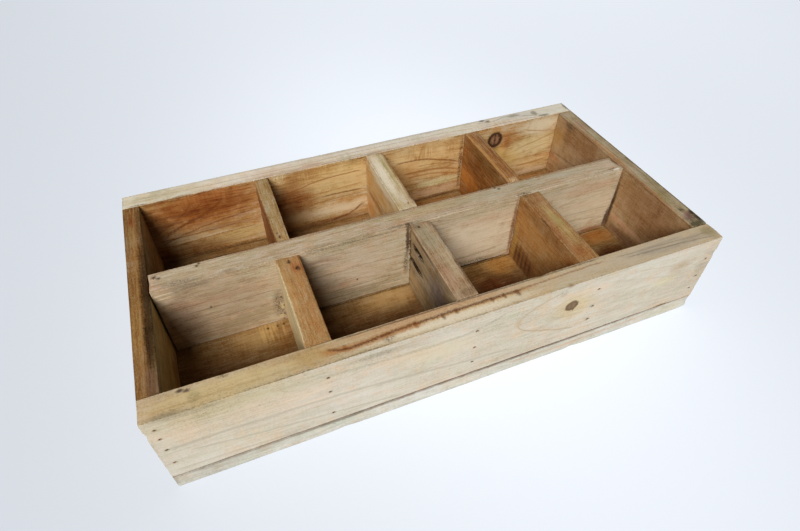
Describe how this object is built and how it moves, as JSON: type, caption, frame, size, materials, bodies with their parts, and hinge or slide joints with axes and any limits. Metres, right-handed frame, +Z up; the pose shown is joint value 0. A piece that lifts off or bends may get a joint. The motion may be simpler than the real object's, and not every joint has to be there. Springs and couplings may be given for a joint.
{
  "type": "printers tray",
  "caption": "Open printers tray of nailed reclaimed softwood boards, split into equal square compartments for small goods.",
  "frame": {"origin": "middle of the tray's underside", "axes": "+X along the tray's length to its right, +Y to its back, +Z up"},
  "size_m": [0.5, 0.258, 0.096],
  "materials": {
    "pale_pine": "raw weathered",
    "honey_pine": "raw sawn",
    "brown_pine": "raw sawn",
    "grey_pine": "raw weathered",
    "bottom_pine": "raw sawn",
    "nail_steel": "rusted"
  },
  "bodies": {
    "root": {"front_wall": "pale_pine", "back_wall": "honey_pine", "left_end_wall": "brown_pine", "right_end_wall": "brown_pine", "long_divider": "grey_pine", "front_left_divider": "honey_pine", "front_middle_divider": "grey_pine", "front_right_divider": "honey_pine", "back_left_divider": "brown_pine", "back_middle_divider": "grey_pine", "back_right_divider": "honey_pine", "front_bottom_board": "bottom_pine", "back_bottom_board": "bottom_pine", "front_corner_nails": "nail_steel", "front_divider_nails": "nail_steel", "back_corner_nails": "nail_steel", "back_divider_nails": "nail_steel", "end_wall_nails": "nail_steel", "toe_nails": "nail_steel", "front_bottom_nails": "nail_steel", "back_bottom_nails": "nail_steel"}
  },
  "joints": []
}
